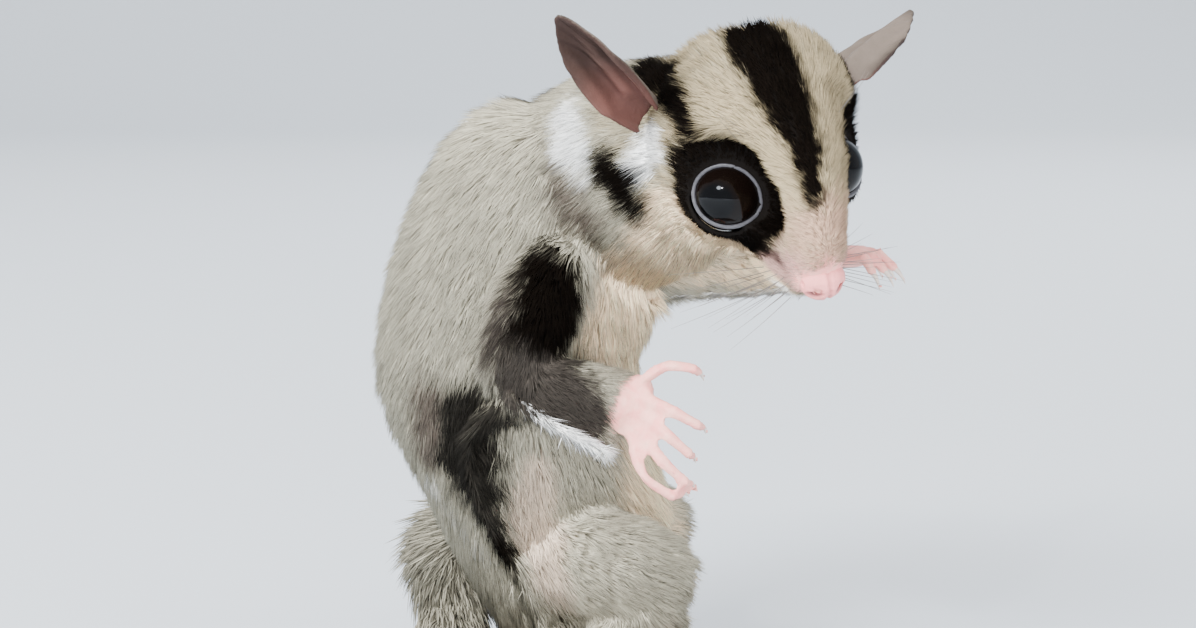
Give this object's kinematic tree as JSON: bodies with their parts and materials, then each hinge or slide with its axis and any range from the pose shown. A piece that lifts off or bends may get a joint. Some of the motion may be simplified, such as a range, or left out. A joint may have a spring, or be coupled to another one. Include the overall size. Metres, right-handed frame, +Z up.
{
  "type": "sugar glider",
  "caption": "Young sugar glider sitting up on its haunches, head turned and lowered, one hand curled in a grip, the other reaching forward, bushy tail round its side.",
  "frame": {"origin": "on the floor under the middle of the whole animal", "axes": "+X the way the body faces, +Y its left, +Z up"},
  "size_m": [0.0714, 0.064, 0.0929],
  "materials": {
    "coat": "soft short cream and grey fur with dark markings",
    "tail": "long bushy grey fur",
    "membrane": "folded gliding skin, dark fur with a white edge",
    "skin": "naked pink skin of the nose, hands and feet",
    "ear": "thin nearly naked brown-grey ear skin",
    "eye": "wet black eye"
  },
  "bodies": {
    "root": {"torso": "coat", "head": "coat", "neck": "coat", "nose": "skin", "eye_right": "eye", "eye_left": "eye", "ear_right": "ear", "ear_left": "ear", "arm_right": "coat", "forearm_right": "coat", "hand_right": "skin", "thigh_right": "coat", "shin_right": "coat", "foot_right": "skin", "membrane_right": "membrane", "arm_left": "coat", "forearm_left": "coat", "hand_left": "skin", "thigh_left": "coat", "shin_left": "coat", "foot_left": "skin", "membrane_left": "membrane", "tail_1": "tail", "tail_2": "tail", "tail_3": "tail"}
  },
  "joints": []
}
